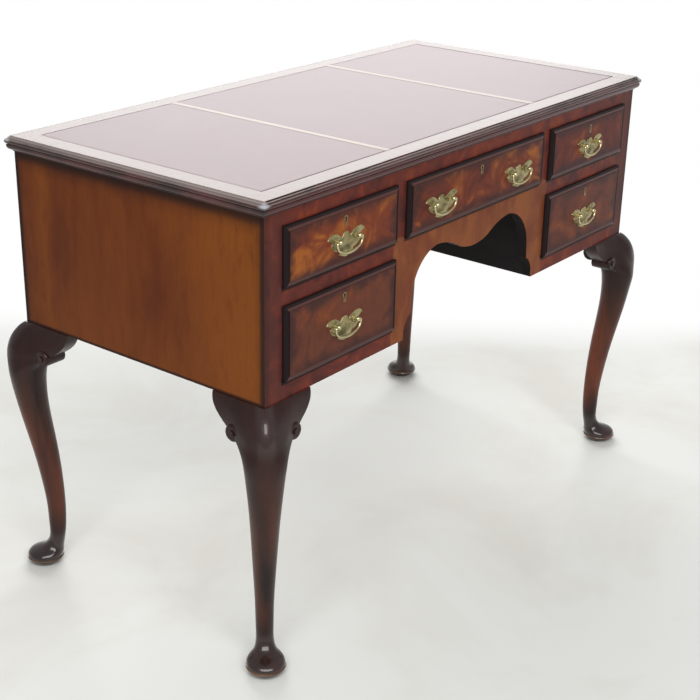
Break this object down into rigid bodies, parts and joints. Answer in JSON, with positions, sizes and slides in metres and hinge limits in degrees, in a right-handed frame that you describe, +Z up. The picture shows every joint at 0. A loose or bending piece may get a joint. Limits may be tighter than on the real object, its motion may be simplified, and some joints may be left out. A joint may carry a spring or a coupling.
{
  "type": "kneehole desk",
  "caption": "Kneehole writing desk on cabriole legs, with lipped drawers, batwing pulls, an arched apron and a leather-lined moulded top.",
  "frame": {"origin": "on the floor under the middle of the desk", "axes": "+X along the front, to the right of someone facing the drawers; drawers face -Y; +Z up"},
  "size_m": [1.1334, 0.5864, 0.762],
  "materials": {
    "edge_moulding": "dark polished walnut moulding",
    "border_veneer": "crossbanded walnut, waxed",
    "leather": "worn mauve-brown desk leather",
    "leg_wood": "very dark french-polished walnut",
    "side_veneer": "straight-grained walnut, polished",
    "front_veneer": "walnut veneer, polished",
    "drawer_veneer": "figured walnut veneer with dark moulded lip",
    "kneehole_wood": "dark stained",
    "carcase_wood": "unpolished secondary wood",
    "drawer_lining": "plain oak lining",
    "brass": "antique brass, worn",
    "steel": "dull"
  },
  "bodies": {
    "desk": {"top_board": "edge_moulding", "top_border": "border_veneer", "leather_left": "leather", "leather_centre": "leather", "leather_right": "leather", "bed_moulding": "edge_moulding", "leg_front_left": "leg_wood", "leg_front_right": "leg_wood", "leg_rear_left": "leg_wood", "leg_rear_right": "leg_wood", "knee_brackets": "leg_wood", "side_panel_left": "side_veneer", "side_panel_right": "side_veneer", "back_boards": "carcase_wood", "kneehole_wall_left": "kneehole_wood", "kneehole_wall_right": "kneehole_wood", "top_rail": "front_veneer", "front_stiles": "front_veneer", "pedestal_rails": "front_veneer", "apron": "front_veneer", "dust_boards": "carcase_wood", "drawer_guides": "carcase_wood", "kickers": "carcase_wood", "top_screws": "steel"},
    "drawer_upper_left": {"drawer_front_upper_left": "drawer_veneer", "drawer_box_upper_left": "drawer_lining", "drawer_bottom_upper_left": "drawer_lining", "drawer_lock_upper_left": "brass", "pull_plate_upper_left": "brass"},
    "lock_bolt_upper_left": {"lock_bolt_upper_left": "brass"},
    "bail_upper_left": {"bail_upper_left": "brass"},
    "drawer_lower_left": {"drawer_front_lower_left": "drawer_veneer", "drawer_box_lower_left": "drawer_lining", "drawer_bottom_lower_left": "drawer_lining", "drawer_lock_lower_left": "brass", "pull_plate_lower_left": "brass"},
    "lock_bolt_lower_left": {"lock_bolt_lower_left": "brass"},
    "bail_lower_left": {"bail_lower_left": "brass"},
    "drawer_centre": {"drawer_front_centre": "drawer_veneer", "drawer_box_centre": "drawer_lining", "drawer_bottom_centre": "drawer_lining", "drawer_lock_centre": "brass", "pull_plate_centre": "brass"},
    "lock_bolt_centre": {"lock_bolt_centre": "brass"},
    "bail_centre_left": {"bail_centre_left": "brass"},
    "bail_centre_right": {"bail_centre_right": "brass"},
    "drawer_upper_right": {"drawer_front_upper_right": "drawer_veneer", "drawer_box_upper_right": "drawer_lining", "drawer_bottom_upper_right": "drawer_lining", "drawer_lock_upper_right": "brass", "pull_plate_upper_right": "brass"},
    "lock_bolt_upper_right": {"lock_bolt_upper_right": "brass"},
    "bail_upper_right": {"bail_upper_right": "brass"},
    "drawer_lower_right": {"drawer_front_lower_right": "drawer_veneer", "drawer_box_lower_right": "drawer_lining", "drawer_bottom_lower_right": "drawer_lining", "drawer_lock_lower_right": "brass", "pull_plate_lower_right": "brass"},
    "lock_bolt_lower_right": {"lock_bolt_lower_right": "brass"},
    "bail_lower_right": {"bail_lower_right": "brass"}
  },
  "joints": [
    {"name": "drawer_slide_upper_left", "type": "slide", "parent": "desk", "child": "drawer_upper_left", "axis": [0, -1, 0], "range_m": [0, 0.32]},
    {"name": "bolt_throw_upper_left", "type": "slide", "parent": "drawer_upper_left", "child": "lock_bolt_upper_left", "axis": [0, 0, 1], "range_m": [0, 0.008]},
    {"name": "bail_swing_upper_left", "type": "hinge", "parent": "drawer_upper_left", "child": "bail_upper_left", "pos_m": [-0.35975, -0.2741, 0.6678], "axis": [-1, 0, 0], "range_deg": [0, 95]},
    {"name": "drawer_slide_lower_left", "type": "slide", "parent": "desk", "child": "drawer_lower_left", "axis": [0, -1, 0], "range_m": [0, 0.32]},
    {"name": "bolt_throw_lower_left", "type": "slide", "parent": "drawer_lower_left", "child": "lock_bolt_lower_left", "axis": [0, 0, 1], "range_m": [0, 0.008]},
    {"name": "bail_swing_lower_left", "type": "hinge", "parent": "drawer_lower_left", "child": "bail_lower_left", "pos_m": [-0.35975, -0.2741, 0.53575], "axis": [-1, 0, 0], "range_deg": [0, 95]},
    {"name": "drawer_slide_centre", "type": "slide", "parent": "desk", "child": "drawer_centre", "axis": [0, -1, 0], "range_m": [0, 0.32]},
    {"name": "bolt_throw_centre", "type": "slide", "parent": "drawer_centre", "child": "lock_bolt_centre", "axis": [0, 0, 1], "range_m": [0, 0.008]},
    {"name": "bail_swing_centre_left", "type": "hinge", "parent": "drawer_centre", "child": "bail_centre_left", "pos_m": [-0.115, -0.2741, 0.6678], "axis": [-1, 0, 0], "range_deg": [0, 95]},
    {"name": "bail_swing_centre_right", "type": "hinge", "parent": "drawer_centre", "child": "bail_centre_right", "pos_m": [0.115, -0.2741, 0.6678], "axis": [-1, 0, 0], "range_deg": [0, 95]},
    {"name": "drawer_slide_upper_right", "type": "slide", "parent": "desk", "child": "drawer_upper_right", "axis": [0, -1, 0], "range_m": [0, 0.32]},
    {"name": "bolt_throw_upper_right", "type": "slide", "parent": "drawer_upper_right", "child": "lock_bolt_upper_right", "axis": [0, 0, 1], "range_m": [0, 0.008]},
    {"name": "bail_swing_upper_right", "type": "hinge", "parent": "drawer_upper_right", "child": "bail_upper_right", "pos_m": [0.35975, -0.2741, 0.6678], "axis": [-1, 0, 0], "range_deg": [0, 95]},
    {"name": "drawer_slide_lower_right", "type": "slide", "parent": "desk", "child": "drawer_lower_right", "axis": [0, -1, 0], "range_m": [0, 0.32]},
    {"name": "bolt_throw_lower_right", "type": "slide", "parent": "drawer_lower_right", "child": "lock_bolt_lower_right", "axis": [0, 0, 1], "range_m": [0, 0.008]},
    {"name": "bail_swing_lower_right", "type": "hinge", "parent": "drawer_lower_right", "child": "bail_lower_right", "pos_m": [0.35975, -0.2741, 0.53575], "axis": [-1, 0, 0], "range_deg": [0, 95]}
  ]
}
